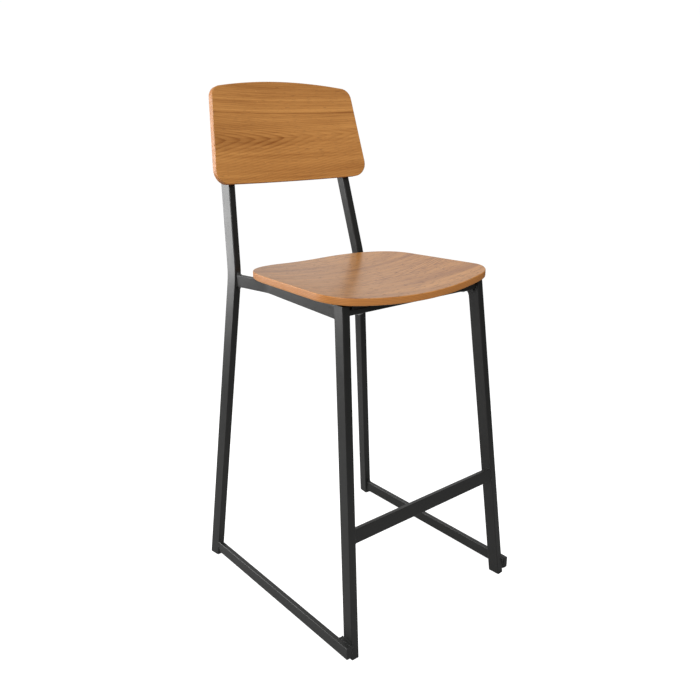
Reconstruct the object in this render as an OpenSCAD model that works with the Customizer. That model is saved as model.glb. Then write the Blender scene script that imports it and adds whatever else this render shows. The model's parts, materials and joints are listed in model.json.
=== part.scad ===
// Bar stool with footrest: a welded steel tube frame on two floor runners,
// with a moulded plywood seat and back.
// Millimetres. +X is to the right as seen from the front, the stool faces -Y,
// +Z is up, and the origin is on the floor under the middle of the stool.

/* [Stance] */
// Sideways distance of a rear foot from the middle
rear_foot_x = 250; // [220:1:280]
// Sideways distance of a front foot from the middle
front_foot_x = 229.5; // [205:1:240]
// How far a rear foot stands behind the origin
rear_foot_y = 235.2; // [215:0.1:255]
// How far a front foot stands in front of the rear foot
foot_spacing = 508; // [470:1:540]

/* [Rear uprights] */
// Height of the bend in the rear upright
knee_h = 714; // [690:1:740]
// Sideways distance of the bend from the middle
knee_x = 184.5; // [170:0.5:200]
// How far the bend stands in front of the rear foot
knee_forward = 41; // [20:1:60]
// Height of the upright's top end
upright_h = 1088; // [1040:1:1110]
// How far the upright leans back above the bend, in degrees
back_lean = 11.8; // [6:0.1:16]
// How far the upright leans in above the bend, in degrees
back_lean_in = 5.5; // [2:0.1:8]
// Centre-line radius of the bend
knee_r = 160; // [90:5:200]
// Turn of the rear tube about its own length, front edge inwards, in degrees
rear_turn = 7; // [0:0.5:9]

/* [Front legs] */
// Height of the front leg's top end
front_leg_h = 719.5; // [710:0.5:720]
// How far the front leg's top stands in from its foot
front_lean_in = 42; // [25:1:55]
// How far the front leg's top stands back from its foot
front_lean_back = 79; // [60:1:100]
// Turn of the front leg about its own length, front edge outwards, in degrees
front_turn = 2.7; // [0:0.1:5]

/* [Steel tube] */
// Width of the leg tube
leg_w = 17.5; // [12:0.5:20]
// Depth of the leg tube
leg_d = 28.5; // [20:0.5:30]
// Wall of every tube
wall = 1.5; // [1:0.1:2]
// Thickness of the flat tubes
flat_t = 11; // [8:0.5:12]
// Height of the runners and the seat rails
rail_h = 27; // [20:1:30]
// Height of the footrest bar
footrest_h = 30; // [25:1:40]
// Depth of the cross rails under the seat
cross_d = 20; // [18:1:25]

/* [Rails and runners] */
// Height of the seat rail's centre line
seat_rail_z = 703; // [698:0.5:704]
// Sideways distance of the seat rail's bend from the middle
rail_bend_x = 165; // [158:0.5:176]
// How far the seat rail's bend stands in front of the rear foot
rail_bend_y = 153; // [130:1:180]
// Centre-line radius of the seat rail's bend
rail_bend_r = 80; // [40:5:120]
// Height of the footrest bar's centre line
footrest_z = 260.5; // [200:0.5:330]
// Height of the runner's underside above the floor
runner_z = 8.5; // [6:0.5:20]
// Radius of the ground weld fillets
weld_r = 10; // [6:1:14]
// How far the runner's spacer block reaches behind the front leg
spacer_back = 6; // [2:1:12]
// Thickness of a foot glide under the tube
glide_h = 5; // [3:0.5:7]

/* [Seat] */
// Height of the seat's top at its lowest line
seat_h = 725; // [724:0.5:727]
// Thickness of the seat
seat_t = 15; // [12:0.5:15]
// Radius of the seat's dish from side to side
seat_dish_r = 1450; // [1400:5:2500]
// Half the seat's width at its front corners before they are rounded
seat_front_half = 230; // [225:0.5:245]
// Half the seat's width at its rear corners before they are rounded
seat_rear_half = 202.5; // [195:0.5:212]
// How far the seat's front edge stands in front of the rear foot
seat_front_y = 474; // [465:1:490]
// How far the seat's rear edge stands in front of the rear foot
seat_rear_y = 49; // [45:1:90]
// Radius of the seat's bowed front edge
seat_front_bow = 900; // [900:20:2000]
// Radius of the seat's bowed rear edge
seat_rear_bow = 1300; // [450:10:1400]
// Radius of the seat's front corners
seat_front_corner = 60; // [60:1:90]
// Radius of the seat's rear corners
seat_rear_corner = 160; // [70:1:165]

/* [Backrest] */
// Height of the backrest's lower edge
back_z = 911; // [890:1:930]
// Height of the backrest along its own slope
back_h = 225; // [180:1:232]
// Half the backrest's width at its lower corners
back_low_half = 216; // [200:1:225]
// Half the backrest's width at its upper corners
back_top_half = 192; // [176:1:205]
// Thickness of the backrest
back_t = 15; // [12:0.5:16]
// Radius of the backrest's curve from side to side
back_curve_r = 1025; // [950:5:1400]
// How far the backrest's own slope leans back, in degrees
back_slope = 11; // [10:0.1:12]
// Radius of the backrest's crowned upper edge
back_crown = 1000; // [700:20:1600]
// Radius of the backrest's lower corners
back_low_corner = 31; // [20:1:45]
// Radius of the backrest's upper corners
back_top_corner = 28; // [20:1:45]

/* [Fixings] */
// Bore of the bolt holes
bolt_bore = 6.6; // [6.2:0.1:7]
// Diameter of the bolts
bolt_d = 6; // [5:0.1:6]
// Sideways distance of the seat bolts from the middle
seat_bolt_x = 148; // [140:1:148]
// Height of the lower backrest bolts
back_bolt_low = 950; // [940:1:970]
// Height of the upper backrest bolts
back_bolt_high = 1050; // [1020:1:1060]

/* [Hidden] */
STEEL = [0.13, 0.13, 0.13];
PLASTIC = [0.07, 0.07, 0.07];
ZINC = [0.72, 0.73, 0.72];
SEAT_WOOD = [0.72, 0.55, 0.42];
BACK_WOOD = [0.66, 0.43, 0.22];
corner_r = 2;                    // outer corner of the leg tube
flat_corner_r = 1.5;             // outer corner of the flat tubes
bore_corner_r = 1.2;             // inner corner of every tube, and of the plugs
fit = 0.1;                       // clearance of a plug in its tube
swell = 0.02;                    // how much thicker a tube is each way in its bend
lap = 1;                         // how far a straight tube runs on inside its bend
plug_l = 16;                     // length of a plug inside its tube
cap_t = 2;                       // thickness of an end cap
footrest_inset = 0.8;            // of the footrest bar behind the legs' front faces
seat_gap = 0.2;                  // between the cross rails and the middle of the seat
back_gap = 0.3;                  // between the uprights and the backrest
washer_d = 18;
washer_t = 1.2;
spacer_d = 18;                   // depth of a seat spacer block, front to back
spacer_in = 15;                  // how far a block reaches inwards from its bolt
spacer_out = [23, 8];            // and outwards, at the front and at the rear
insert_d = 9;
insert_l = 10;
insert_sink = 0.5;               // depth of an insert below the board's face
head_d = 10.5;                   // button head of a bolt
head_h = 2.4;
socket_d = 4.6;                  // hexagon socket, corner to corner
socket_deep = 1.4;
seat_bolt_l = 28;
back_bolt_l = 35;
far = 400;                       // size of the cutting blocks
big_n = 720;                     // sides of a large arc in the preview
round_n = 48;

// --- vectors ---
function unit(v) = v / norm(v);
function along(a, b, t) = a + (b - a) * t;
// Rotation that turns +Z to z and brings +X as near to x as it can
function square_to(z, x) = unit(x - z * (x * z));
function turn_to(z, x) = let (s = square_to(z, x))
    [atan2(cross(z, s)[2], z[2]), asin(-s[2]), atan2(s[1], s[0])];
module place(p, z, x) {
    translate(p)
        rotate(turn_to(unit(z), x))
            children();
}

// --- outlines ---
module rounded_rect(w, d, r) {
    square([w - 2 * r, d], center = true);
    square([w, d - 2 * r], center = true);
    for (sx = [-1, 1], sy = [-1, 1])
        translate([sx * (w / 2 - r), sy * (d / 2 - r)])
            circle(r = r, $fn = round_n);
}
// A tube's section, or its filled outline; grow thickens it each way
module section(w, d, r, hollow, grow) {
    difference() {
        rounded_rect(w + 2 * grow, d + 2 * grow, r + grow);
        if (hollow) rounded_rect(w - 2 * wall - 2 * grow, d - 2 * wall - 2 * grow, bore_corner_r);
    }
}
module plug_outline(w, d) {
    inset = 2 * (wall + fit);
    rounded_rect(w - inset, d - inset, bore_corner_r);
}
// Points of an arc that rounds the corner at b between a and c
function corner_arc(a, b, c, r, n) =
    let (u = unit(a - b), v = unit(c - b), half = acos(u * v) / 2,
        m = b + unit(u + v) * (r / sin(half)),
        p = b + u * (r / tan(half)) - m, q = b + v * (r / tan(half)) - m,
        a0 = atan2(p[1], p[0]), d = atan2(q[1], q[0]) - a0,
        sweep = d > 180 ? d - 360 : d < -180 ? d + 360 : d)
    [for (i = [0:n]) m + r * [cos(a0 + sweep * i / n), sin(a0 + sweep * i / n)]];
// A closed outline whose corners, each [x, y, radius, steps], are rounded
function rounded(k) = [for (i = [0:len(k) - 1])
    let (a = k[(i + len(k) - 1) % len(k)], b = k[i], c = k[(i + 1) % len(k)])
    for (p = corner_arc([a[0], a[1]], [b[0], b[1]], [c[0], c[1]], b[2], b[3])) p];
function mirrored(k) = [for (i = [len(k) - 1:-1:0]) [-k[i][0], k[i][1], k[i][2], k[i][3]]];
// How far the corner that a bow rounds stands off the middle of the bow
function bow_rise(r, span) = span * span / (2 * r);

// --- centre lines, all for the right-hand side ---
rear_foot = [rear_foot_x, rear_foot_y, 0];
knee = [knee_x, rear_foot_y - knee_forward, knee_h];
upper_dir = unit([-tan(back_lean_in), tan(back_lean), 1]);
lower_dir = unit(knee - rear_foot);
upright_top = knee + upper_dir * ((upright_h - knee_h) / upper_dir[2]);
front_foot = [front_foot_x, rear_foot_y - foot_spacing, 0];
front_dir = unit([-front_lean_in, front_lean_back, front_leg_h]);
rear_x = [cos(rear_turn), -sin(rear_turn), 0];
front_x = [cos(front_turn), sin(front_turn), 0];
bend_normal = unit(cross(upper_dir, lower_dir));
bend_angle = acos(lower_dir * upper_dir);
bend_tangent = knee_r * tan(bend_angle / 2);
rear_width = square_to(lower_dir, rear_x);
rear_roll = atan2(rear_width * cross(lower_dir, bend_normal), rear_width * bend_normal);
function rear_at(z) = along(rear_foot, knee, z / knee_h);
function upper_at(z) = knee + upper_dir * ((z - knee_h) / upper_dir[2]);
function front_at(z) = front_foot + front_dir * (z / front_dir[2]);

module side(s) {
    if (s < 0) mirror([1, 0, 0]) children();
    else children();
}
module slab(z0, z1) {
    translate([-far, -far, z0])
        cube([2 * far, 2 * far, z1 - z0]);
}

// --- rear uprights ---
module rear_section(hollow, grow = 0) {
    rotate(rear_roll)
        section(leg_w, leg_d, corner_r, hollow, grow);
}
// The upright's full length: straight, bent back at the knee and straight again
module rear_stock(hollow) {
    below = norm(knee - rear_foot) + leg_d - bend_tangent;
    above = norm(upright_top - knee) - bend_tangent;
    place(knee, lower_dir, bend_normal)
        translate([0, knee_r, -bend_tangent]) {
            translate([0, -knee_r, -below])
                linear_extrude(below + lap)
                    rear_section(hollow);
            rotate(turn_to([-1, 0, 0], [0, -1, 0]))
                rotate_extrude(angle = bend_angle, $fn = big_n)
                    translate([knee_r, 0])
                        mirror([0, 1])
                            rotate(90)
                                rear_section(hollow, swell);
            rotate([-bend_angle, 0, 0])
                translate([0, -knee_r, -lap])
                    linear_extrude(above + lap)
                        rear_section(hollow);
        }
}
// Frame on the upright at height z: X across the tube, Y to its back
module on_upright(z) {
    place(upper_at(z), upper_dir, bend_normal)
        rotate(rear_roll)
            children();
}
module rear_upright(s) {
    side(s)
        difference() {
            rear_stock(true);
            slab(-far, glide_h);
            for (z = [back_bolt_low, back_bolt_high])
                on_upright(z)
                    rotate([90, 0, 0])
                        cylinder(d = bolt_bore, h = 2 * leg_d, center = true, $fn = round_n);
        }
}
module upright_cap(s) {
    side(s)
        on_upright(upright_h) {
            linear_extrude(cap_t)
                rounded_rect(leg_w, leg_d, corner_r);
            translate([0, 0, -plug_l])
                linear_extrude(plug_l + fit)
                    plug_outline(leg_w, leg_d);
        }
}

// --- front legs ---
module front_stock(hollow) {
    drop = leg_d;
    place(front_foot, front_dir, front_x)
        translate([0, 0, -drop])
            linear_extrude(front_leg_h / front_dir[2] + 2 * drop)
                section(leg_w, leg_d, corner_r, hollow, 0);
}
module front_leg(s) {
    side(s)
        intersection() {
            front_stock(true);
            slab(glide_h, front_leg_h);
        }
}
// A foot glide: a flat pad with the tube's outline, and a plug up inside the tube
module rear_glide(s) {
    side(s) {
        intersection() {
            rear_stock(false);
            slab(0, glide_h);
        }
        intersection() {
            place(rear_foot, lower_dir, bend_normal)
                linear_extrude(plug_l)
                    rotate(rear_roll)
                        plug_outline(leg_w, leg_d);
            slab(glide_h - fit, far);
        }
    }
}
module front_glide(s) {
    side(s) {
        intersection() {
            front_stock(false);
            slab(0, glide_h);
        }
        intersection() {
            place(front_foot, front_dir, front_x)
                linear_extrude(plug_l)
                    plug_outline(leg_w, leg_d);
            slab(glide_h - fit, far);
        }
    }
}

// --- flat tubes ---
// A straight flat tube from a to b, flat_t across and rail_h high
module rail_tube(a, b, hollow) {
    place(a, b - a, cross([0, 0, 1], b - a))
        linear_extrude(norm(b - a))
            section(flat_t, rail_h, flat_corner_r, hollow, 0);
}
// A straight flat tube along X from -half to half, with its depth along the way d
module cross_tube(half, p, d, w, h) {
    place(p - [half, 0, 0], [1, 0, 0], d)
        linear_extrude(2 * half)
            section(w, h, flat_corner_r, true, 0);
}
rail_start = rear_at(seat_rail_z);
rail_bend = [rail_bend_x, rear_foot_y - rail_bend_y, seat_rail_z];
rail_end = front_at(seat_rail_z);
rail_back_dir = unit(rail_start - rail_bend);
rail_front_dir = unit(rail_end - rail_bend);
rail_half_angle = acos(rail_back_dir * rail_front_dir) / 2;
rail_tangent = rail_bend_r / tan(rail_half_angle);
rail_centre = rail_bend + unit(rail_back_dir + rail_front_dir) * (rail_bend_r / sin(rail_half_angle));
rail_arc = let (p = rail_bend + rail_back_dir * rail_tangent - rail_centre,
    q = rail_bend + rail_front_dir * rail_tangent - rail_centre,
    a = (atan2(p[1], p[0]) + 360) % 360, b = (atan2(q[1], q[0]) + 360) % 360)
    [min(a, b), abs(a - b)];
module rail_stock(hollow) {
    rail_tube(rail_bend + rail_back_dir * (rail_tangent - lap), rail_start, hollow);
    rail_tube(rail_bend + rail_front_dir * (rail_tangent - lap), rail_end, hollow);
    translate(rail_centre)
        rotate(rail_arc[0])
            rotate_extrude(angle = rail_arc[1], $fn = big_n)
                translate([rail_bend_r, 0])
                    section(flat_t, rail_h, flat_corner_r, hollow, swell);
}
module seat_rail(s) {
    side(s)
        difference() {
            rail_stock(true);
            rear_stock(false);
            front_stock(false);
        }
}
runner_mid = runner_z + rail_h / 2;
runner_x = rear_at(runner_mid)[0];
runner_end = front_at(runner_mid)[1] - leg_d / 2;
module runner(s) {
    side(s)
        difference() {
            rail_tube([runner_x, runner_end, runner_mid], [runner_x, rear_at(runner_mid)[1], runner_mid], true);
            rear_stock(false);
        }
}
module runner_cap(s) {
    side(s)
        place([runner_x, runner_end, runner_mid], [0, -1, 0], [1, 0, 0]) {
            linear_extrude(cap_t)
                rounded_rect(flat_t, rail_h, flat_corner_r);
            translate([0, 0, -plug_l])
                linear_extrude(plug_l + fit)
                    plug_outline(flat_t, rail_h);
        }
}
module runner_spacer(s) {
    inner = front_at(runner_z + rail_h)[0] + leg_w / 2 - 1;
    back = front_at(runner_mid)[1] + leg_d / 2 + spacer_back;
    side(s)
        difference() {
            translate([inner, runner_end, runner_z])
                cube([runner_x - flat_t / 2 - inner, back - runner_end, rail_h]);
            front_stock(false);
        }
}
cross_z = seat_h - seat_t - seat_gap - flat_t / 2;
front_cross_y = front_at(cross_z)[1];
rear_cross_y = rail_bend[1] - cross_d / 2 - 2;
seat_bolts_y = [front_cross_y, rear_cross_y];
module cross_rail(y, half) {
    difference() {
        cross_tube(half, [0, y, cross_z], [0, 1, 0], cross_d, flat_t);
        for (s = [-1, 1])
            translate([s * seat_bolt_x, y, cross_z])
                cylinder(d = bolt_bore, h = 2 * flat_t, center = true, $fn = round_n);
    }
}
module front_cross_tube() {
    difference() {
        cross_rail(front_cross_y, rail_end[0]);
        for (s = [-1, 1])
            side(s)
                front_stock(false);
    }
}
module rear_cross_tube() {
    difference() {
        cross_rail(rear_cross_y, rail_bend[0]);
        for (s = [-1, 1])
            side(s)
                rail_stock(false);
    }
}
footrest_lean = atan(front_lean_back / front_leg_h);
footrest_set = ((leg_d - flat_t) / 2 - footrest_inset) / cos(footrest_lean);
module footrest_tube() {
    mid = front_at(footrest_z);
    difference() {
        cross_tube(mid[0], [0, mid[1] - footrest_set, mid[2]], [0, cos(footrest_lean), -sin(footrest_lean)],
            flat_t, footrest_h);
        for (s = [-1, 1])
            side(s)
                front_stock(false);
    }
}
// A concave weld fillet in the corner p between a flat tube, which runs along
// dir, and a leg; open is the side of the tube that the fillet lies on
module fillet(p, dir, open, width) {
    root = leg_w / 2;
    reach = 0.88 * weld_r;
    place(p, cross(dir, open), dir)
        linear_extrude(width, center = true)
            difference() {
                translate([-root, 0])
                    square([root + reach, reach]);
                translate([weld_r, weld_r])
                    circle(r = weld_r, $fn = round_n);
            }
}
module weld_fillets(s) {
    up = [0, 0, rail_h / 2];
    wide = flat_t - 2 * flat_corner_r;
    at_upright = rail_start - rail_back_dir * (leg_d / 2);
    at_leg = rail_end - rail_front_dir * (leg_d / 2);
    at_foot = [runner_x, rear_at(runner_mid)[1] - leg_d / 2, runner_mid];
    at_cross = front_at(cross_z) - [leg_w / 2, 0, flat_t / 2];
    side(s)
        difference() {
            union() {
                fillet(at_upright + up, -rail_back_dir, [0, 0, 1], wide);
                fillet(at_upright - up, -rail_back_dir, [0, 0, -1], wide);
                fillet(at_leg - up, -rail_front_dir, [0, 0, -1], wide);
                fillet(at_foot + up, [0, -1, 0], [0, 0, 1], wide);
                fillet(at_cross, [-1, 0, 0], [0, 0, -1], wide);
            }
            rear_stock(false);
            front_stock(false);
        }
}

// --- seat ---
front_span = seat_front_half - seat_front_corner;
front_mid = -seat_front_y - bow_rise(seat_front_bow, front_span);
front_side = front_mid + seat_front_half * front_span / seat_front_bow;
rear_span = seat_rear_half - seat_rear_corner;
rear_mid = -seat_rear_y + bow_rise(seat_rear_bow, rear_span);
rear_side = rear_mid - seat_rear_half * rear_span / seat_rear_bow;
seat_corners = [[seat_front_half, front_side, seat_front_corner, 14],
    [seat_rear_half, rear_side, seat_rear_corner, 14]];
seat_outline = rounded(concat([[0, front_mid, seat_front_bow, 12]], seat_corners,
    [[0, rear_mid, seat_rear_bow, 12]], mirrored(seat_corners)));
// The underside of the seat over a seat bolt
bolt_seat_z = seat_h + seat_dish_r - sqrt(pow(seat_dish_r + seat_t, 2) - pow(seat_bolt_x, 2));
module dish(r) {
    translate([0, far, seat_h + seat_dish_r])
        rotate([90, 0, 0])
            cylinder(r = r, h = 2 * far, $fn = big_n);
}
module at_seat_bolts(z) {
    for (sx = [-1, 1], y = seat_bolts_y)
        translate([sx * seat_bolt_x, y, z])
            children();
}
module seat_board() {
    difference() {
        intersection() {
            translate([0, rear_foot_y, seat_h - seat_t])
                linear_extrude(4 * seat_t)
                    polygon(seat_outline);
            dish(seat_dish_r + seat_t);
        }
        dish(seat_dish_r);
        at_seat_bolts(bolt_seat_z - seat_t)
            cylinder(d = insert_d, h = seat_t + insert_sink + insert_l, $fn = round_n);
    }
}
// Blocks between the cross rails and the seat, sloped to meet the seat's dish
module seat_spacer_set() {
    slope = asin(seat_bolt_x / (seat_dish_r + seat_t));
    base = cross_z + flat_t / 2;
    for (s = [-1, 1], row = [0, 1])
        side(s)
            difference() {
                translate([seat_bolt_x - spacer_in, seat_bolts_y[row] - spacer_d / 2, base])
                    cube([spacer_in + spacer_out[row], spacer_d, seat_t]);
                translate([seat_bolt_x, seat_bolts_y[row], base - 1])
                    cylinder(d = bolt_bore, h = seat_t + 2, $fn = round_n);
                translate([seat_bolt_x, seat_bolts_y[row], bolt_seat_z])
                    rotate([0, -slope, 0])
                        translate([-far, -far, 0])
                            cube([2 * far, 2 * far, seat_t]);
            }
}
module washer() {
    difference() {
        cylinder(d = washer_d, h = washer_t, $fn = round_n);
        translate([0, 0, -1])
            cylinder(d = bolt_bore, h = washer_t + 2, $fn = round_n);
    }
}
// A button-head bolt from under its head: the shank goes up, the head down
module bolt(length) {
    difference() {
        union() {
            cylinder(d = bolt_d, h = length, $fn = round_n);
            translate([0, 0, -head_h])
                cylinder(d1 = head_d - 2, d2 = head_d, h = head_h, $fn = round_n);
        }
        translate([0, 0, -head_h - 1])
            cylinder(d = socket_d, h = socket_deep + 1, $fn = 6);
    }
}
module threaded_insert() {
    difference() {
        cylinder(d = insert_d, h = insert_l, $fn = round_n);
        translate([0, 0, -1])
            cylinder(d = bolt_d, h = insert_l + 2, $fn = round_n);
    }
}

// --- backrest ---
back_up = [0, sin(back_slope), cos(back_slope)];
back_away = [0, cos(back_slope), -sin(back_slope)];
back_mid_h = (back_bolt_low + back_bolt_high) / 2;
// The middle of the upright's front face, which the backrest lies against
upright_back = let (w = square_to(upper_dir, [cos(rear_turn), -sin(rear_turn), 0])) cross(upper_dir, w);
upright_face = upper_at(back_mid_h) - upright_back * (leg_d / 2);
back_behind = sqrt(pow(back_curve_r + back_t, 2) - pow(upright_face[0], 2)) - back_curve_r + back_gap;
back_y = upright_face[1] - (back_behind + (upright_face[2] - back_z) * sin(back_slope)) / cos(back_slope);
top_span = back_top_half - back_top_corner;
top_mid = back_h + bow_rise(back_crown, top_span);
top_side = top_mid - back_top_half * top_span / back_crown;
back_corners = [[back_low_half, 0, back_low_corner, 12],
    [back_top_half, top_side, back_top_corner, 12]];
back_outline = rounded(concat(back_corners, [[0, top_mid, back_crown, 16]], mirrored(back_corners)));
module back_roll(r) {
    translate([0, -back_curve_r, -back_t])
        cylinder(r = r, h = back_h + 3 * back_t, $fn = big_n);
}
module at_back_bolts() {
    for (s = [-1, 1], z = [back_bolt_low, back_bolt_high])
        side(s)
            on_upright(z)
                rotate([90, 0, 0])
                    translate([0, 0, -leg_d / 2])
                        children();
}
insert_start = leg_d + back_gap + insert_sink;
module backrest_board() {
    difference() {
        place([0, back_y, back_z], back_up, [1, 0, 0])
            difference() {
                intersection() {
                    translate([0, 2 * back_t, 0])
                        rotate([90, 0, 0])
                            linear_extrude(5 * back_t)
                                polygon(back_outline);
                    back_roll(back_curve_r + back_t);
                }
                back_roll(back_curve_r);
            }
        at_back_bolts()
            translate([0, 0, leg_d / 2])
                cylinder(d = insert_d, h = insert_start - leg_d / 2 + insert_l, $fn = round_n);
    }
}

// --- the named pieces ---
module left_rear_upright() color(STEEL) rear_upright(-1);
module right_rear_upright() color(STEEL) rear_upright(1);
module left_front_leg() color(STEEL) front_leg(-1);
module right_front_leg() color(STEEL) front_leg(1);
module left_seat_rail() color(STEEL) seat_rail(-1);
module right_seat_rail() color(STEEL) seat_rail(1);
module left_runner() color(STEEL) runner(-1);
module right_runner() color(STEEL) runner(1);
module left_runner_spacer() color(STEEL) runner_spacer(-1);
module right_runner_spacer() color(STEEL) runner_spacer(1);
module front_cross_rail() color(STEEL) front_cross_tube();
module rear_cross_rail() color(STEEL) rear_cross_tube();
module footrest_bar() color(STEEL) footrest_tube();
module left_weld_fillets() color(STEEL) weld_fillets(-1);
module right_weld_fillets() color(STEEL) weld_fillets(1);
module left_upright_cap() color(PLASTIC) upright_cap(-1);
module right_upright_cap() color(PLASTIC) upright_cap(1);
module left_runner_cap() color(PLASTIC) runner_cap(-1);
module right_runner_cap() color(PLASTIC) runner_cap(1);
module left_rear_glide() color(PLASTIC) rear_glide(-1);
module right_rear_glide() color(PLASTIC) rear_glide(1);
module left_front_glide() color(PLASTIC) front_glide(-1);
module right_front_glide() color(PLASTIC) front_glide(1);
module seat_panel() color(SEAT_WOOD) seat_board();
module seat_bolts() color(ZINC) at_seat_bolts(cross_z - flat_t / 2 - washer_t) bolt(seat_bolt_l);
module seat_bolt_washers() color(ZINC) at_seat_bolts(cross_z - flat_t / 2 - washer_t) washer();
module seat_spacers() color(PLASTIC) seat_spacer_set();
module seat_inserts() color(ZINC) at_seat_bolts(bolt_seat_z + insert_sink) threaded_insert();
module backrest_panel() color(BACK_WOOD) backrest_board();
module backrest_bolts() color(ZINC) at_back_bolts() bolt(back_bolt_l);
module backrest_inserts() color(ZINC) at_back_bolts() translate([0, 0, insert_start]) threaded_insert();

left_rear_upright();
right_rear_upright();
left_front_leg();
right_front_leg();
left_seat_rail();
right_seat_rail();
left_runner();
right_runner();
left_runner_spacer();
right_runner_spacer();
front_cross_rail();
rear_cross_rail();
footrest_bar();
left_weld_fillets();
right_weld_fillets();
left_upright_cap();
right_upright_cap();
left_runner_cap();
right_runner_cap();
left_rear_glide();
right_rear_glide();
left_front_glide();
right_front_glide();
seat_panel();
seat_bolts();
seat_bolt_washers();
seat_spacers();
seat_inserts();
backrest_panel();
backrest_bolts();
backrest_inserts();
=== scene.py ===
"""Looks of the bar stool: a black powder-coated tube frame with a moulded plywood seat and back.

Metres throughout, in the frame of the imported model: the stool faces -Y and stands on Z = 0.
"""

import json
import math

import bpy
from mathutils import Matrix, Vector


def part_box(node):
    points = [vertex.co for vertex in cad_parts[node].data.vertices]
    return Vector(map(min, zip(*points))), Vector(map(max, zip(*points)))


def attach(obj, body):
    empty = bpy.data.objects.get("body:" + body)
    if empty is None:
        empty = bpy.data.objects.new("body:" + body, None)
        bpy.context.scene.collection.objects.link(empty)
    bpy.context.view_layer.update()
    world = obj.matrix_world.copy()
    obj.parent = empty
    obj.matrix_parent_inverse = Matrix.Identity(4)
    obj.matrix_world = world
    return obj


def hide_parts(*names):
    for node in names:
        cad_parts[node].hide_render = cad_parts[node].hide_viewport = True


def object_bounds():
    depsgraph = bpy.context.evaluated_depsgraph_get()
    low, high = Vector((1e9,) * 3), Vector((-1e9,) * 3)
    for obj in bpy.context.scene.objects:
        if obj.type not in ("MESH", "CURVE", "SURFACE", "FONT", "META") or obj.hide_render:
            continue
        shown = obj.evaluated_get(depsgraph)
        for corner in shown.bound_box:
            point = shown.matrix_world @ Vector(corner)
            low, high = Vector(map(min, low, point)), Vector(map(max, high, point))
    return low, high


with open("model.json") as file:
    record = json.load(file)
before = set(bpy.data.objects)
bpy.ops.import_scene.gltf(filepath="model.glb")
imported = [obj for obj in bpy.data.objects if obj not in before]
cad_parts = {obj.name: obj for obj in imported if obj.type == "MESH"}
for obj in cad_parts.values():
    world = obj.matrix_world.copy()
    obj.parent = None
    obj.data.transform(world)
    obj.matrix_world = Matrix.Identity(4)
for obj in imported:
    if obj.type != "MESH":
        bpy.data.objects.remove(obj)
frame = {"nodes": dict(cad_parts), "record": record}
cad_box = [list(corner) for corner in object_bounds()]
CAD = frame["nodes"]

MM = 0.001
X, Y = 0, 1  # the axes' places in a point

# --- moulded boards ---
BOARD_THICK = 15 * MM
ARRIS = 1.8 * MM  # rounding of a board's edges
ARRIS_STEPS = 5
ARRIS_SUPPORT = 0.5 * MM  # flat strip beside the rounding, which keeps the face true
RIM_LEVELS = (0.3, 0.5, 0.7)  # rings of points on the rim, as shares of the thickness
FACE_RINGS = 22  # rings of points from a board's rim to its middle
FACE_CROWDING = 1.15  # above 1, the rings lie closer together near the rim
ARC_STEPS = 40  # points along each rounded corner or bowed edge

SEAT_RADIUS = 1450 * MM  # side-to-side dish of the seat
SEAT_FRONT = 0.474  # front and rear edges, ahead of the rear feet
SEAT_REAR = 0.049
SEAT_FRONT_HALF, SEAT_REAR_HALF = 0.2300, 0.2025
SEAT_FRONT_BOW, SEAT_REAR_BOW = 0.900, 1.300
SEAT_FRONT_CORNER, SEAT_REAR_CORNER = 0.060, 0.160
SEAT_RIM_POINTS = 176

BACK_RADIUS = 1025 * MM
BACK_HEIGHT = 0.225
BACK_LOW_HALF, BACK_TOP_HALF = 0.216, 0.192
BACK_CROWN = 1.000  # radius of the arched top edge
BACK_LOW_CORNER, BACK_TOP_CORNER = 0.031, 0.028
BACK_SLOPE = math.radians(11.0)
BACK_RIM_POINTS = 160

# --- veneer and plies ---
LIGHT_WOOD = (0.590, 0.270, 0.070, 1)
DARK_WOOD = (0.250, 0.080, 0.008, 1)
PORE = (0.150, 0.052, 0.014, 1)
EDGE_LONG = (0.560, 0.222, 0.050, 1)  # inner plies that run along the rim
EDGE_END = (0.430, 0.165, 0.036, 1)  # inner plies that end at the rim
GLUE = (0.230, 0.080, 0.020, 1)
FACE_PLY = 0.8 * MM
INNER_PLIES = 9
RING_PITCH = 4.6 * MM
ARCH_SPREAD = 11.2  # how fast the arches run back from their tips
ARCH_RISE = 0.115  # how far a ring lies from the heart, per metre of arch

# waves per metre, along the grain and across it
DRIFT = (2.2, 34.0)
WOBBLE = (9.0, 60.0)
PATCH = (7.0, 16.0)
BAND = (1.4, 19.0)
LINE = (3.0, 210.0)
STREAK = (13.0, 430.0)
FIBRE = (26.0, 900.0)
DASH = (48.0, 1000.0)
LONG_FIBRE = (60.0, 60.0)
END_FIBRE = (1300.0, 1300.0)
FIBRE_DEPTH, LONG_FIBRE_DEPTH, END_FIBRE_DEPTH = 900.0, 2600.0, 1500.0

# how much each part of the figure darkens the veneer
SHARE = {
    "ground": 0.24,
    "late wood": 0.40,
    "patch": 1.2,
    "drift": 0.6,
    "band": 1.2,
    "fibre": 0.5,
    "line": 0.8,
    "fleck": 0.7,
}

# --- other finishes: (darker, lighter) colours, and lumps per metre ---
BLACK_COAT = (0.0070, 0.0071, 0.0066, 1), (0.0110, 0.0111, 0.0104, 1)
COAT_FLECK = (0.035, 0.035, 0.033, 1)
PEEL, COAT_CLOUD, FLECKS = 900.0, 22.0, 2600.0
BLACK_PLASTIC = (0.010, 0.010, 0.010, 1), (0.035, 0.034, 0.033, 1)
GRIT, SCUFFS = 1500.0, 180.0
BLACK_RUBBER = (0.012, 0.012, 0.012, 1), (0.030, 0.030, 0.029, 1)
BLOOM = 320.0
ZINC = (0.50, 0.51, 0.52, 1), (0.66, 0.66, 0.64, 1)
ZINC_LEVEL, ZINC_UPRIGHT, ZINC_DULL = 400.0, 2600.0, 130.0
LACQUER_FLOW = 45.0

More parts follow.
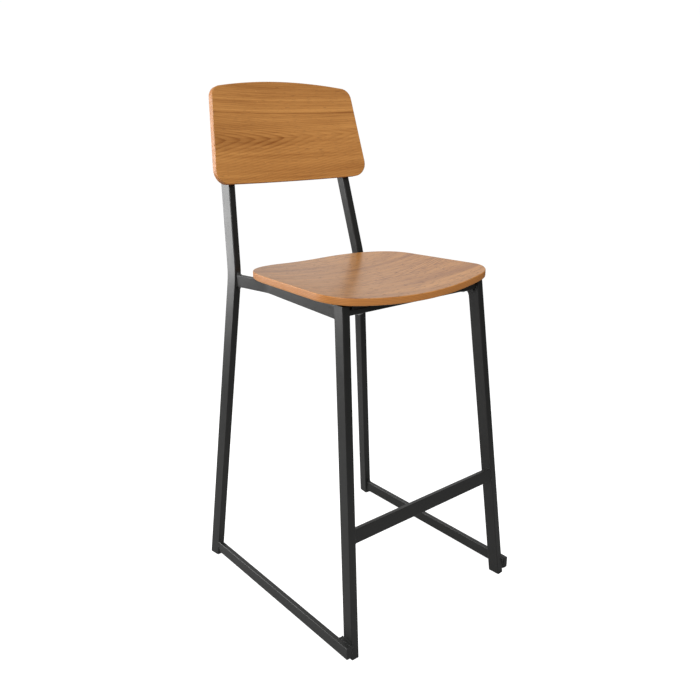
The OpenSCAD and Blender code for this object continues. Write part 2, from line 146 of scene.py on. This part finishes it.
# --- studio ---
CAMERA_AT = (-1.0264, -1.2244, 1.0574)
CAMERA_YAW, CAMERA_PITCH = math.radians(39.81), math.radians(17.78)
LENS_MM, SENSOR_MM = 37.58, 36.0
ROOM_LOW, ROOM_HIGH = 0.10, 0.50  # brightness of the room low down and overhead
BACKDROP = 0.45  # extra brightness of the room behind the stool
AIR_SEEN = 1.02  # brightness of the room as the eye sees it
FLOOR_NEAR = 0.7, (0.40, 0.40, 0.40, 1)  # distance from the middle, and shade
FLOOR_FAR = 1.9, (0.20, 0.20, 0.20, 1)
FLOOR_GLOW = 0.92
FLOOR_HALF = 30.0
FLOOR_GAP = 0.2 * MM
WHITE = (1, 1, 1, 1)


# ---------------------------------------------------------------- node trees


class Num:
    """A number inside a node tree, so that a formula reads as plain arithmetic."""

    def __init__(self, tree, socket):
        self.tree = tree
        self.socket = socket

    def math(self, operation, *values):
        return self.tree.num("ShaderNodeMath", {"operation": operation}, dict(enumerate(values)))

    def __add__(self, other):
        return self.math("ADD", self, other)

    def __radd__(self, other):
        return self.math("ADD", other, self)

    def __sub__(self, other):
        return self.math("SUBTRACT", self, other)

    def __rsub__(self, other):
        return self.math("SUBTRACT", other, self)

    def __mul__(self, other):
        return self.math("MULTIPLY", self, other)

    def __rmul__(self, other):
        return self.math("MULTIPLY", other, self)

    def __truediv__(self, other):
        return self.math("DIVIDE", self, other)

    def __rtruediv__(self, other):
        return self.math("DIVIDE", other, self)

    def __pow__(self, other):
        return self.math("POWER", self, other)

    def __rpow__(self, other):
        return self.math("POWER", other, self)

    def __neg__(self):
        return self.math("MULTIPLY", self, -1.0)

    def root(self):
        return self.math("SQRT", self)

    def size(self):
        return self.math("ABSOLUTE", self)

    def part(self):
        """What is left after the whole number is taken off."""
        return self.math("FRACT", self)


class Tree:
    """A node tree being put together."""

    def __init__(self, nodes_of):
        self.nodes_of = nodes_of

    def add(self, kind, settings=None, values=None):
        """Adds a node: its settings first, then a value or a link for each named socket."""
        node = self.nodes_of.nodes.new(kind)
        for key, value in (settings or {}).items():
            setattr(node, key, value)
        for key, value in (values or {}).items():
            self.feed(node.inputs[key], value)
        return node

    def feed(self, target, value):
        if isinstance(value, Num):
            value = value.socket
        if isinstance(value, bpy.types.NodeSocket):
            self.nodes_of.links.new(value, target)
        else:
            target.default_value = value

    def num(self, kind, settings=None, values=None):
        """Adds a node and takes its first output as a number."""
        return Num(self, self.add(kind, settings, values).outputs[0])

    def split(self, vector):
        node = self.add("ShaderNodeSeparateXYZ", values={0: vector})
        return [Num(self, socket) for socket in node.outputs]

    def join(self, x, y, z):
        return self.add("ShaderNodeCombineXYZ", values={0: x, 1: y, 2: z}).outputs[0]

    def ramp(self, value, low, high, to_low=0.0, to_high=1.0):
        """Moves smoothly from to_low to to_high as value goes from low to high."""
        return self.num(
            "ShaderNodeMapRange",
            {"interpolation_type": "SMOOTHSTEP"},
            {0: value, 1: low, 2: high, 3: to_low, 4: to_high},
        )

    def bell(self, value, centre, half_width):
        """1 at centre, falling smoothly to 0 at half_width either side."""
        return self.ramp((value - centre).size(), 0.0, half_width, 1.0, 0.0)

    def noise(self, vector, scale=1.0, detail=2.0, roughness=0.5):
        """Smooth noise about 0, from roughly -0.5 to 0.5."""
        values = {"Vector": vector, "Scale": scale, "Detail": detail, "Roughness": roughness}
        return self.num("ShaderNodeTexNoise", values=values) - 0.5

    def blend(self, factor, a, b):
        """A colour between a, where factor is 0, and b, where it is 1."""
        settings = {"data_type": "RGBA", "blend_type": "MIX", "clamp_factor": True}
        return self.add("ShaderNodeMix", settings, {0: factor, 6: a, 7: b}).outputs[2]


class Finish(Tree):
    """A surface finish: one material built round a Principled shader."""

    def __init__(self, name):
        self.material = bpy.data.materials.new(name)
        self.material.use_nodes = True
        super().__init__(self.material.node_tree)
        self.nodes_of.nodes.clear()

    def place(self):
        return self.add("ShaderNodeTexCoord").outputs["Object"]

    def attribute(self, name):
        return self.add("ShaderNodeAttribute", {"attribute_name": name}).outputs["Vector"]

    def close(self, sockets, height, depth):
        """Ends the material. height, in metres once multiplied by depth, raises the surface."""
        relief = {"Strength": 1.0, "Distance": depth, "Height": height}
        bump = self.add("ShaderNodeBump", values=relief).outputs[0]
        shader = self.add("ShaderNodeBsdfPrincipled", values={**sockets, "Normal": bump})
        self.add("ShaderNodeOutputMaterial", values={"Surface": shader.outputs[0]})
        return self.material


class Rule(Tree):
    """A Geometry Nodes tree with named inputs, ending in plain geometry with one material."""

    KINDS = {
        "number": "NodeSocketFloat",
        "count": "NodeSocketInt",
        "vector": "NodeSocketVector",
        "finish": "NodeSocketMaterial",
    }

    def __init__(self, name, inputs):
        group = bpy.data.node_groups.new(name, "GeometryNodeTree")
        super().__init__(group)
        shape = "NodeSocketGeometry"
        group.interface.new_socket("Geometry", in_out="INPUT", socket_type=shape)
        for key, kind in inputs.items():
            group.interface.new_socket(key, in_out="INPUT", socket_type=self.KINDS[kind])
        group.interface.new_socket("Geometry", in_out="OUTPUT", socket_type=shape)
        self.given = self.add("NodeGroupInput").outputs

    def close(self, geometry):
        """Ends the tree in smooth-shaded plain geometry that carries the chosen finish."""
        smooth = self.add("GeometryNodeSetShadeSmooth", values={"Geometry": geometry})
        real = self.add("GeometryNodeRealizeInstances", values={"Geometry": smooth.outputs[0]})
        finish = {"Geometry": real.outputs[0], "Material": self.given["Finish"]}
        done = self.add("GeometryNodeSetMaterial", values=finish)
        self.add("NodeGroupOutput", values={"Geometry": done.outputs[0]})
        return self.nodes_of


def run_rule(group, name, points, edges, faces, inputs):
    """Runs a tree on a start mesh and returns the result as a plain mesh object."""
    start = bpy.data.meshes.new(name + "_start")
    start.from_pydata(points, edges, faces)
    worker = bpy.data.objects.new(name + "_start", start)
    bpy.context.scene.collection.objects.link(worker)
    modifier = worker.modifiers.new("rule", "NODES")
    modifier.node_group = group
    for item in group.interface.items_tree:
        if item.in_out == "INPUT" and item.name in inputs:
            modifier[item.identifier] = inputs[item.name]
    graph = bpy.context.evaluated_depsgraph_get()
    mesh = bpy.data.meshes.new_from_object(worker.evaluated_get(graph), depsgraph=graph)
    worker.modifiers.clear()
    bpy.data.objects.remove(worker)
    mesh.name = name
    piece = bpy.data.objects.new(name, mesh)
    bpy.context.scene.collection.objects.link(piece)
    return piece


# ---------------------------------------------------------------- finishes


def powder_coat():
    """Satin black powder coat on steel, with its fine orange peel."""
    f = Finish("satin_black_powder_coat")
    p = f.place()
    peel = f.noise(p, PEEL, 2.0)
    cloud = f.noise(p, COAT_CLOUD, 3.0)
    fleck = f.ramp(f.noise(p, FLECKS, 0.0), 0.16, 0.30)
    base = f.blend(fleck * 0.35, f.blend(cloud + 0.5, *BLACK_COAT), COAT_FLECK)
    rough = 0.36 + cloud * 0.10 + peel * 0.05
    sockets = {"Base Color": base, "Roughness": rough, "Specular IOR Level": 0.5}
    return f.close(sockets, peel, 0.05 * MM)


def moulded_plastic():
    """Black moulded plastic with a fine spark-eroded texture."""
    f = Finish("black_moulded_plastic")
    p = f.place()
    grit = f.noise(p, GRIT, 3.0)
    scuff = f.ramp(f.noise(p, SCUFFS, 4.0), 0.05, 0.30)
    base = f.blend(scuff * 0.5, *BLACK_PLASTIC)
    rough = 0.55 + grit * 0.15 + scuff * 0.12
    return f.close({"Base Color": base, "Roughness": rough}, grit, 0.04 * MM)


def spacer_rubber():
    """Matt black rubber with a dusty bloom."""
    f = Finish("matt_black_rubber")
    bloom = f.noise(f.place(), BLOOM, 4.0)
    base = f.blend(bloom + 0.5, *BLACK_RUBBER)
    return f.close({"Base Color": base, "Roughness": 0.8 + bloom * 0.1}, bloom, 0.05 * MM)


def zinc_plate():
    """Bright zinc plating, slightly uneven and dulled."""
    f = Finish("zinc_plated_steel")
    p = f.place()
    x, y, z = f.split(p)
    streak = f.noise(f.join(x * ZINC_LEVEL, y * ZINC_LEVEL, z * ZINC_UPRIGHT), 1.0, 2.0)
    dull = f.noise(p, ZINC_DULL, 4.0)
    base = f.blend(dull + 0.5, *ZINC)
    rough = 0.30 + dull * 0.22 + streak * 0.08
    return f.close({"Base Color": base, "Roughness": rough, "Metallic": 1.0}, streak, 0.02 * MM)


def lacquered_ply(name, rings, contrast, pores, streaks, coarse, marks=(), flecks=()):
    """Stained and lacquered plywood.

    rings(f, along, across) gives the growth rings' distance from the heart in metres, and
    how plainly they show.
    contrast, pores and streaks say how strongly each shows, and coarse is how much wider
    than fine oak the lines of the grain are.
    marks are (across, half width, strength) lines of lighter or darker veneer, and flecks
    (along, across) small light rays.
    """
    f = Finish(name)
    along, across, depth = f.split(f.attribute("grain"))

    def grain(waves, layer, detail, roughness=0.5, width=1.0):
        """Noise drawn out along the grain, with lines wider by width."""
        spot = f.join(along * waves[0], across * (waves[1] / width), layer)
        return f.noise(spot, 1.0, detail, roughness)

    # the face: growth rings, slow drift of colour, and fine lines and pores along the grain
    slow = grain(DRIFT, 3.0, 3.0)
    wobble = grain(WOBBLE, 7.0, 3.0, 0.6)
    distance, figure = rings(f, along, across)
    turn = (distance / RING_PITCH + slow * 1.1 + wobble * 0.35).part()
    late = f.ramp(turn, 0.30, 0.88) - f.ramp(turn, 0.88, 1.0)
    patch = grain(PATCH, 11.0, 2.0)
    fibre = grain(FIBRE, depth * FIBRE_DEPTH, 3.0, 0.65, coarse)
    line = grain(LINE, 5.0, 2.0, 0.6, coarse)
    streak = f.ramp(grain(STREAK, 9.0, 2.0, 0.6, coarse), 0.02, 0.20)
    band = grain(BAND, 21.0, 2.0)
    late_wood = late * (SHARE["late wood"] + patch * SHARE["patch"]) * contrast * figure
    tone = SHARE["ground"] + late_wood + slow * SHARE["drift"] + band * SHARE["band"]
    tone = tone + fibre * SHARE["fibre"] + line * SHARE["line"] * contrast + streak * streaks
    for place, width, strength in marks:
        tone = tone + f.bell(across, place, width) * strength
    for u, v in flecks:
        ray = f.bell(along, u, 2.6 * MM) * f.bell(across, v, 1.3 * MM)
        tone = tone - ray * SHARE["fleck"]
    dash = f.ramp(grain(DASH, 2.0, 2.0, width=coarse), 0.09, 0.22)
    pore = dash * f.ramp(late + patch, 0.0, 0.6, 1.0, 0.45) * pores
    face = f.blend(pore, f.blend(tone, LIGHT_WOOD, DARK_WOOD), PORE)

    # the rim: inner plies by turns along and across, with a glue line between
    ply = (depth - FACE_PLY) / ((BOARD_THICK - 2 * FACE_PLY) / INNER_PLIES)
    crossed = f.ramp((ply * 0.5).part() - 0.5, -0.02, 0.02)
    seam = f.bell(ply.part(), 0.0, 0.12) + f.bell(ply.part(), 1.0, 0.12)
    long_fibre = grain(LONG_FIBRE, depth * LONG_FIBRE_DEPTH, 3.0)
    end_fibre = grain(END_FIBRE, depth * END_FIBRE_DEPTH, 2.0)
    rim = f.blend(crossed, EDGE_LONG, EDGE_END)
    rim = f.blend(long_fibre * 0.8 + end_fibre * 0.5 + 0.15, rim, GLUE)
    rim = f.blend(seam * 0.30, rim, GLUE)

    # the face veneers' own edge shows as a thin line each side of the inner plies
    below_top = f.ramp(depth, FACE_PLY, FACE_PLY * 1.15)
    above_foot = f.ramp(depth, BOARD_THICK - FACE_PLY * 1.15, BOARD_THICK - FACE_PLY, 1.0, 0.0)
    inside = below_top * above_foot
    flow = f.noise(f.place(), LACQUER_FLOW, 2.0)
    sockets = {
        "Base Color": f.blend(inside, face, rim),
        "Roughness": 0.30 + flow * 0.06 + pore * 0.10 + inside * 0.22,
        "Coat Weight": 0.25 - inside * 0.22,
        "Coat Roughness": 0.22,
    }
    relief = flow * 0.03 - pore * 0.04 - seam * inside * 0.05 + fibre * 0.012
    return f.close(sockets, relief, 1.0 * MM)


def arches(run, off):
    """Growth rings that meet in long pointed arches, with their tips towards +run."""
    return (run + ARCH_SPREAD * off.size() ** 1.25) * ARCH_RISE


def back_rings(f, along, across):
    """Arches that open to the left, under a straight-grained upper leaf."""
    heart, lean = 99.0 * MM, 0.03
    leaf_seam, overlap = 154.0 * MM, 0.3 * MM
    off = across - heart - along * lean
    off = off * (1.0 + f.ramp(off, -12 * MM, 25 * MM) * 0.30)
    straight = across * 1.1 + along * 0.008 + 0.37
    upper = f.ramp(across, leaf_seam - overlap, leaf_seam + overlap)
    fading = f.ramp(along, -60 * MM, 90 * MM, 0.58, 0.12)
    figure = 0.42 + f.bell(off, 0.0, 62.0 * MM) * fading
    return arches(along, off) * (1.0 - upper) + straight * upper, figure


def seat_rings(f, along, across):
    """Two sets of arches that open to the sides and meet in the middle."""
    heart, lean, tip = -98.0 * MM, 0.06, 30 * MM
    off = across - heart - along * lean
    figure = 0.60 + f.bell(off, 0.0, 70.0 * MM) * 0.50
    return arches(-((along * along + tip**2).root()), off), figure


# ---------------------------------------------------------------- moulded boards


def corner_points(before, corner, after, radius):
    """Points of the arc that rounds a corner."""
    b = Vector(corner)
    u = (Vector(before) - b).normalized()
    v = (Vector(after) - b).normalized()
    half = u.angle(v) / 2
    centre = b + (u + v).normalized() * (radius / math.sin(half))
    p = b + u * (radius / math.tan(half)) - centre
    q = b + v * (radius / math.tan(half)) - centre
    first = math.atan2(p.y, p.x)
    sweep = math.atan2(q.y, q.x) - first
    sweep = (sweep + math.pi) % (2 * math.pi) - math.pi
    angles = [first + sweep * i / ARC_STEPS for i in range(ARC_STEPS + 1)]
    return [centre + radius * Vector((math.cos(a), math.sin(a))) for a in angles]


def rounded_outline(corners):
    """A closed outline from corners (x, y, radius), anticlockwise."""
    points = []
    for i, (x, y, radius) in enumerate(corners):
        before = corners[i - 1][:2]
        after = corners[(i + 1) % len(corners)][:2]
        points += corner_points(before, (x, y), after, radius)
    return points


def evenly(points, count):
    """The same closed line with count points at even distances."""
    ring = points + points[:1]
    reach = [0.0]
    for a, b in zip(ring, ring[1:]):
        reach.append(reach[-1] + (b - a).length)
    out, k = [], 0
    for i in range(count):
        target = reach[-1] * i / count
        while reach[k + 1] < target:
            k += 1
        t = (target - reach[k]) / (reach[k + 1] - reach[k])
        out.append(ring[k].lerp(ring[k + 1], t))
    return out


def mirrored(corners):
    """The same corners on the other side of the middle, so that the outline runs on."""
    return [(-x, y, radius) for x, y, radius in reversed(corners)]


def seat_outline(rear_foot):
    """The seat seen from above: bowed front and rear edges, and generous corners."""
    front_span = SEAT_FRONT_HALF - SEAT_FRONT_CORNER
    rear_span = SEAT_REAR_HALF - SEAT_REAR_CORNER
    front = -SEAT_FRONT - front_span**2 / (2 * SEAT_FRONT_BOW)
    rear = -SEAT_REAR + rear_span**2 / (2 * SEAT_REAR_BOW)
    front_side = front + SEAT_FRONT_HALF * front_span / SEAT_FRONT_BOW
    rear_side = rear - SEAT_REAR_HALF * rear_span / SEAT_REAR_BOW
    side = [
        (SEAT_FRONT_HALF, front_side, SEAT_FRONT_CORNER),
        (SEAT_REAR_HALF, rear_side, SEAT_REAR_CORNER),
    ]
    front_bow, rear_bow = (0, front, SEAT_FRONT_BOW), (0, rear, SEAT_REAR_BOW)
    corners = [front_bow, *side, rear_bow, *mirrored(side)]
    return [p + Vector((0, rear_foot)) for p in rounded_outline(corners)]


def back_outline():
    """The back laid flat: straight lower edge on the X axis, arched top edge."""
    span = BACK_TOP_HALF - BACK_TOP_CORNER
    crown = BACK_HEIGHT + span**2 / (2 * BACK_CROWN)
    shoulder = crown - BACK_TOP_HALF * span / BACK_CROWN
    side = [
        (BACK_LOW_HALF, 0.0, BACK_LOW_CORNER),
        (BACK_TOP_HALF, shoulder, BACK_TOP_CORNER),
    ]
    return rounded_outline([*side, (0, crown, BACK_CROWN), *mirrored(side)])


def flat_blank(outline, count):
    """A flat board with rounded arrises: points and faces, top at z = 0."""
    rim = evenly(outline, count)
    middle = sum(rim, Vector((0, 0))) / count
    inward = []
    for i in range(count):
        run = (rim[(i + 1) % count] - rim[i - 1]).normalized()
        inward.append(Vector((-run.y, run.x)))

    def inset_ring(inset, depth):
        return [Vector((*(p + n * inset), -depth)) for p, n in zip(rim, inward)]

    def shrunk_ring(share, depth):
        base = inset_ring(ARRIS + ARRIS_SUPPORT, depth)
        hub = Vector((*middle, -depth))
        return [hub + (p - hub) * share for p in base]

    profile = []  # (inset from the rim, depth below the top)
    for i in range(ARRIS_STEPS + 1):
        a = math.pi / 2 * i / ARRIS_STEPS
        profile.append((ARRIS * (1 - math.sin(a)), ARRIS * (1 - math.cos(a))))
    lower = [(inset, BOARD_THICK - depth) for inset, depth in reversed(profile)]
    profile += [(0.0, BOARD_THICK * level) for level in RIM_LEVELS] + lower

    shares = [(1 - (i / FACE_RINGS) ** FACE_CROWDING) for i in range(1, FACE_RINGS)]
    rings = [shrunk_ring(share, 0.0) for share in reversed(shares)]
    rings.append(inset_ring(ARRIS + ARRIS_SUPPORT, 0.0))
    rings += [inset_ring(inset, depth) for inset, depth in profile]
    rings.append(inset_ring(ARRIS + ARRIS_SUPPORT, BOARD_THICK))
    rings += [shrunk_ring(share, BOARD_THICK) for share in shares]

    points = [p for ring in rings for p in ring]
    top, bottom = len(points), len(points) + 1
    points += [Vector((*middle, 0.0)), Vector((*middle, -BOARD_THICK))]
    last = (len(rings) - 1) * count
    faces = []
    for a in range(0, last, count):
        b = a + count
        for i in range(count):
            j = (i + 1) % count
            faces.append((a + i, b + i, b + j, a + j))
    for i in range(count):
        j = (i + 1) % count
        faces.append((top, i, j))
        faces.append((bottom, last + j, last + i))
    return points, faces


def mould_press():
    """Bends a flat board round the Y axis and sets it in place.

    The grain attribute keeps where each point lay in the flat board.
    """
    inputs = {"Mould Radius": "number", "Tilt": "vector", "Place": "vector", "Finish": "finish"}
    g = Rule("Mould press", inputs)
    x, y, z = g.split(g.add("GeometryNodeInputPosition").outputs[0])
    radius = Num(g, g.given["Mould Radius"])
    deep = radius - z
    pressed = radius - (deep * deep - x * x).root()
    grain = {"Geometry": g.given["Geometry"], "Name": "grain", "Value": g.join(x, y, -z)}
    kept = g.add("GeometryNodeStoreNamedAttribute", {"data_type": "FLOAT_VECTOR"}, grain)
    moved = {"Geometry": kept.outputs[0], "Position": g.join(x, y, pressed)}
    bent = g.add("GeometryNodeSetPosition", values=moved).outputs[0]
    set_down = {"Geometry": bent, "Rotation": g.given["Tilt"], "Translation": g.given["Place"]}
    return g.close(g.add("GeometryNodeTransform", values=set_down).outputs[0])


# ---------------------------------------------------------------- welds


def hull(flat):
    """Convex hull of 2-D points with their index, anticlockwise."""
    flat = sorted(flat)

    def half(points):
        out = []
        for p in points:
            while len(out) > 1:
                (ax, ay, _), (bx, by, _) = out[-2:]
                if (bx - ax) * (p[1] - ay) - (by - ay) * (p[0] - ax) > 1e-12:
                    break
                out.pop()
            out.append(p)
        return out[:-1]

    return half(flat) + half(flat[::-1])


def end_loop(node, axis, way, reach):
    """The outer edge of a tube's end: its points within reach of the far end along an axis."""
    points = [v.co.copy() for v in CAD[node].data.vertices]
    far = max(way * p[axis] for p in points)
    end = [p for p in points if way * p[axis] > far - reach]
    a, b = [k for k in range(3) if k != axis]
    return [end[i] for _, _, i in hull([(p[a], p[b], i) for i, p in enumerate(end)])]


def weld_seams():
    """Closed lines round every welded tube end, as points and edges."""
    loops = []
    for side in ("left", "right"):
        loops.append(end_loop(side + "_seat_rail", Y, -1, 3 * MM))
        loops.append(end_loop(side + "_seat_rail", Y, 1, 3 * MM))
        loops.append(end_loop(side + "_runner", Y, 1, 4 * MM))
        for way in (-1, 1):
            loops.append(end_loop(side + "_runner_spacer", X, way, 2 * MM))
    for bar in ("front_cross_rail", "rear_cross_rail", "footrest_bar"):
        for way in (-1, 1):
            loops.append(end_loop(bar, X, way, 3 * MM))
    points, edges = [], []
    for loop in loops:
        first = len(points)
        points += loop
        edges += [(first + i, first + (i + 1) % len(loop)) for i in range(len(loop))]
    return points, edges


def weld_rule():
    """Lays a rippled bead along lines: overlapping flat drops at an even pitch."""
    inputs = {
        "Bead Radius": "number",
        "Ripple Pitch": "number",
        "Seed": "count",
        "Finish": "finish",
    }
    g = Rule("Weld bead", inputs)
    line = g.add("GeometryNodeMeshToCurve", values={0: g.given["Geometry"]})
    pitch = {"Curve": line.outputs[0], "Length": g.given["Ripple Pitch"]}
    even = g.add("GeometryNodeResampleCurve", {"mode": "LENGTH"}, pitch)
    ball = {"Segments": 8, "Rings": 6, "Radius": g.given["Bead Radius"]}
    drop = g.add("GeometryNodeMeshUVSphere", values=ball)
    run = g.add("GeometryNodeInputTangent")
    turn = g.add("FunctionNodeAlignRotationToVector", {"axis": "Z"}, {"Vector": run.outputs[0]})
    chance = {"Min": 0.82, "Max": 1.12, "Seed": g.given["Seed"]}
    flatness = 0.62
    size = g.add("FunctionNodeRandomValue", {"data_type": "FLOAT"})
    for socket in size.inputs:
        if socket.enabled and socket.name in chance:
            g.feed(socket, chance[socket.name])
    value = next(Num(g, s) for s in size.outputs if s.enabled)
    drops = {
        "Points": even.outputs[0],
        "Instance": drop.outputs[0],
        "Rotation": turn.outputs[0],
        "Scale": g.join(value, value, value * flatness),
    }
    return g.close(g.add("GeometryNodeInstanceOnPoints", values=drops).outputs[0])


# ---------------------------------------------------------------- the stool

steel = powder_coat()
finishes = {
    "frame_steel": steel,
    "black_plastic": moulded_plastic(),
    "spacer_rubber": spacer_rubber(),
    "zinc_fixings": zinc_plate(),
}
for part in frame["record"]["subparts"]:
    if part["material_slot"] in finishes:
        CAD[part["node"]].data.materials.clear()
        CAD[part["node"]].data.materials.append(finishes[part["material_slot"]])

press = mould_press()

seat_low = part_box("seat_panel")[0]
seat_inputs = {
    "Mould Radius": SEAT_RADIUS,
    "Tilt": (0.0, 0.0, 0.0),
    "Place": (0.0, 0.0, seat_low.z + BOARD_THICK),
    "Finish": lacquered_ply(
        "lacquered_seat_ply", seat_rings, contrast=1.35, pores=1.6, streaks=0.40, coarse=3.0
    ),
}
points, faces = flat_blank(seat_outline(seat_low.y + SEAT_FRONT), SEAT_RIM_POINTS)
seat = run_rule(press, "moulded_seat", points, [], faces, seat_inputs)
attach(seat, "root")
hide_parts("seat_panel")

back_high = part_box("backrest_panel")[1]
back_marks = [
    (154 * MM, 1.8 * MM, 0.50),
    (160 * MM, 3.5 * MM, -0.32),
    (184 * MM, 3.5 * MM, -0.25),
    (205 * MM, 48.0 * MM, 0.16),
]
back_flecks = [(-70 * MM, height * MM) for height in (202, 179, 45, 19)]
back_inputs = {
    "Mould Radius": BACK_RADIUS,
    "Tilt": (math.pi / 2 - BACK_SLOPE, 0.0, 0.0),
    "Place": (
        0.0,
        back_high.y - BACK_HEIGHT * math.sin(BACK_SLOPE) - BOARD_THICK * math.cos(BACK_SLOPE),
        back_high.z - BACK_HEIGHT * math.cos(BACK_SLOPE),
    ),
    "Finish": lacquered_ply(
        "lacquered_back_ply",
        back_rings,
        contrast=0.95,
        pores=0.7,
        streaks=0.16,
        coarse=1.2,
        marks=back_marks,
        flecks=back_flecks,
    ),
}
points, faces = flat_blank(back_outline(), BACK_RIM_POINTS)
back = run_rule(press, "moulded_backrest", points, [], faces, back_inputs)
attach(back, "root")
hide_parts("backrest_panel")

bead = {"Bead Radius": 1.15 * MM, "Ripple Pitch": 1.1 * MM, "Seed": 7, "Finish": steel}
points, edges = weld_seams()
welds = run_rule(weld_rule(), "weld_beads", points, edges, [], bead)
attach(welds, "root")


# ---------------------------------------------------------------- studio


def softbox(name, at, target, width, height, radiance):
    """A soft rectangular light that shows with this radiance when mirrored."""
    data = bpy.data.lights.new(name, "AREA")
    data.shape = "RECTANGLE"
    data.size, data.size_y = width, height
    data.energy = radiance * math.pi * width * height
    lamp = bpy.data.objects.new(name, data)
    lamp.location = at
    lamp.rotation_mode = "QUATERNION"
    lamp.rotation_quaternion = (Vector(target) - Vector(at)).to_track_quat("-Z", "Y")
    lamp.visible_camera = False
    bpy.context.scene.collection.objects.link(lamp)


def studio_air():
    """White to the eye, and a soft grey room to everything it lights."""
    world = bpy.data.worlds.new("studio")
    bpy.context.scene.world = world
    world.use_nodes = True
    t = Tree(world.node_tree)
    t.nodes_of.nodes.clear()
    _, y, z = t.split(t.add("ShaderNodeTexCoord").outputs["Generated"])
    dome = t.ramp(z, -0.02, 0.85, ROOM_LOW, ROOM_HIGH)
    backdrop = t.ramp(y, -0.05, 0.75) * t.ramp(z, -0.05, 0.10) * BACKDROP
    room = dome + backdrop * t.ramp(z, 0.35, 0.95, 1.0, 0.2)
    seen = t.add("ShaderNodeLightPath").outputs["Is Camera Ray"]
    strength = t.num("ShaderNodeMix", {"data_type": "FLOAT"}, {0: seen, 2: room, 3: AIR_SEEN})
    air = t.add("ShaderNodeBackground", values={"Color": WHITE, "Strength": strength})
    t.add("ShaderNodeOutputWorld", values={"Surface": air.outputs[0]})


def studio_floor():
    """A pale floor that stays white to the eye and returns more light near the stool."""
    f = Finish("pale_floor")
    x, y, _ = f.split(f.place())
    near, near_shade = FLOOR_NEAR
    far, far_shade = FLOOR_FAR
    under = f.ramp((x * x + y * y).root(), near, far, 1.0, 0.0)
    shade = f.blend(under, far_shade, near_shade)
    matt = f.add("ShaderNodeBsdfDiffuse", values={"Color": shade}).outputs[0]
    glow = f.add("ShaderNodeEmission", values={"Color": WHITE, "Strength": FLOOR_GLOW})
    seen = f.add("ShaderNodeLightPath").outputs["Is Camera Ray"]
    lit = f.add("ShaderNodeAddShader", values={0: matt, 1: glow.outputs[0]})
    both = f.add("ShaderNodeMixShader", values={0: seen, 1: matt, 2: lit.outputs[0]})
    f.add("ShaderNodeOutputMaterial", values={"Surface": both.outputs[0]})
    mesh = bpy.data.meshes.new("floor")
    corners = [(-1, -1), (1, -1), (1, 1), (-1, 1)]
    mesh.from_pydata([(u * FLOOR_HALF, v * FLOOR_HALF, 0) for u, v in corners], [], [(0, 1, 2, 3)])
    mesh.materials.append(f.material)
    floor = bpy.data.objects.new("floor", mesh)
    floor.location.z = cad_box[0][2] - FLOOR_GAP
    bpy.context.scene.collection.objects.link(floor)


def studio_camera():
    """Looks down at the stool's front left corner from standing height."""
    data = bpy.data.cameras.new("camera")
    data.lens = LENS_MM
    data.sensor_width = SENSOR_MM
    camera = bpy.data.objects.new("camera", data)
    camera.location = CAMERA_AT
    level = math.cos(CAMERA_PITCH)
    look = (math.sin(CAMERA_YAW) * level, math.cos(CAMERA_YAW) * level, -math.sin(CAMERA_PITCH))
    camera.rotation_mode = "QUATERNION"
    camera.rotation_quaternion = Vector(look).to_track_quat("-Z", "Y")
    bpy.context.scene.collection.objects.link(camera)
    bpy.context.scene.camera = camera


studio_air()
studio_floor()
softbox(
    "left_rear_box",
    at=(-1.48, 1.67, 1.04),
    target=(-0.10, 0.10, 0.95),
    width=1.50,
    height=1.12,
    radiance=8.5,
)
softbox(
    "low_rear_box",
    at=(-1.72, 2.08, 0.30),
    target=(-0.10, 0.15, 0.70),
    width=2.00,
    height=0.45,
    radiance=0.8,
)
softbox(
    "key_box",
    at=(-1.40, -1.90, 2.30),
    target=(0.0, 0.10, 0.85),
    width=1.20,
    height=1.20,
    radiance=15.0,
)
studio_camera()
bpy.context.scene.view_settings.view_transform = "Standard"
